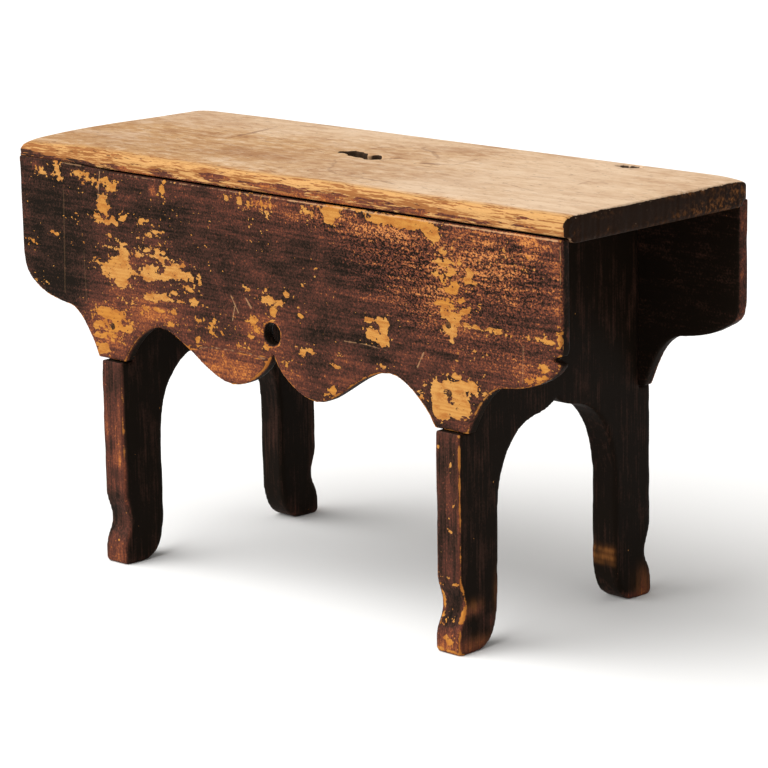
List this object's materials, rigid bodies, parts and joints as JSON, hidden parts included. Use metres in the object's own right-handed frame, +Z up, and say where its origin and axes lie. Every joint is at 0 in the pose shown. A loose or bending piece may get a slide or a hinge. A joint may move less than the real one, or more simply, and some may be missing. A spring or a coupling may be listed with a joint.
{
  "type": "folk art stool",
  "caption": "Low painted folk stool: a worn seat plank with a finger slot on arched end boards, with scalloped aprons nailed along both sides.",
  "frame": {"origin": "floor under the middle of the seat", "axes": "+X along the seat, -Y towards the front apron that faces the viewer, +Z up"},
  "size_m": [0.562, 0.2056, 0.32],
  "materials": {
    "scrubbed_pine": "bare wood worn smooth, with dark paint left along the edges",
    "apron_paint": "dark brown oil paint, flaked to yellow pine in patches",
    "leg_paint": "dark brown oil paint, rubbed on the corners",
    "iron": "dull dark iron"
  },
  "bodies": {
    "root": {"seat_board": "scrubbed_pine", "front_apron": "apron_paint", "rear_apron": "apron_paint", "left_end_board": "leg_paint", "right_end_board": "leg_paint", "nail_front_left_low": "iron", "nail_front_left_middle": "iron", "nail_front_left_high": "iron", "nail_front_right_low": "iron", "nail_front_right_middle": "iron", "nail_front_right_high": "iron", "nail_rear_left_low": "iron", "nail_rear_left_middle": "iron", "nail_rear_left_high": "iron", "nail_rear_right_low": "iron", "nail_rear_right_middle": "iron", "nail_rear_right_high": "iron"}
  },
  "joints": []
}
